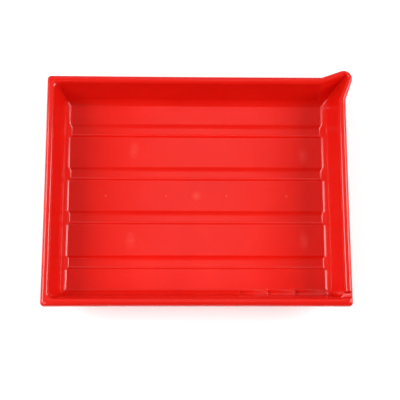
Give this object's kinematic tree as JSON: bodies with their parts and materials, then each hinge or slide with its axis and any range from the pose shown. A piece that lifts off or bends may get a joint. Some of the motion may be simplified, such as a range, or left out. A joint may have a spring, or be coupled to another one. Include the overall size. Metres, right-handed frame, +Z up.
{
  "type": "developing tray",
  "caption": "Shallow open rectangular tray for processing photographic prints, with a ribbed floor, rolled rim, pouring spout and thermometer rests.",
  "frame": {"origin": "middle of the overall footprint, spout included, on the plane under the floor's four feet", "axes": "+X along the tray's length towards the spout end, +Y across it towards the spout side, +Z up out of the open top"},
  "size_m": [0.4968, 0.3848, 0.071],
  "materials": {
    "tray_plastic": "glossy injection-moulded red plastic"
  },
  "bodies": {
    "root": {"back_cove": "tray_plastic", "back_left_corner_rim_skirt": "tray_plastic", "back_left_corner_rim_top": "tray_plastic", "back_left_corner_wall": "tray_plastic", "back_rim_skirt": "tray_plastic", "back_rim_top": "tray_plastic", "back_wall": "tray_plastic", "floor_panel_1": "tray_plastic", "floor_panel_2": "tray_plastic", "floor_panel_3": "tray_plastic", "floor_panel_4": "tray_plastic", "floor_panel_5": "tray_plastic", "foot_channel_1": "tray_plastic", "foot_channel_2": "tray_plastic", "foot_channel_3": "tray_plastic", "foot_channel_4": "tray_plastic", "front_cove": "tray_plastic", "front_left_corner_rim_skirt": "tray_plastic", "front_left_corner_rim_top": "tray_plastic", "front_left_corner_wall": "tray_plastic", "front_right_corner_rim_skirt": "tray_plastic", "front_right_corner_rim_top": "tray_plastic", "front_right_corner_wall": "tray_plastic", "front_rim_skirt": "tray_plastic", "front_rim_top": "tray_plastic", "front_wall": "tray_plastic", "left_cove": "tray_plastic", "left_rim_skirt": "tray_plastic", "left_rim_top": "tray_plastic", "left_wall": "tray_plastic", "right_cove": "tray_plastic", "right_rim_skirt": "tray_plastic", "right_rim_top": "tray_plastic", "right_wall": "tray_plastic", "spout_back_rim_skirt": "tray_plastic", "spout_back_rim_top": "tray_plastic", "spout_back_wall": "tray_plastic", "spout_right_rim_skirt": "tray_plastic", "spout_right_rim_top": "tray_plastic", "spout_right_wall": "tray_plastic", "thermometer_stop_1": "tray_plastic", "thermometer_stop_2": "tray_plastic", "thermometer_stop_3": "tray_plastic"}
  },
  "joints": []
}
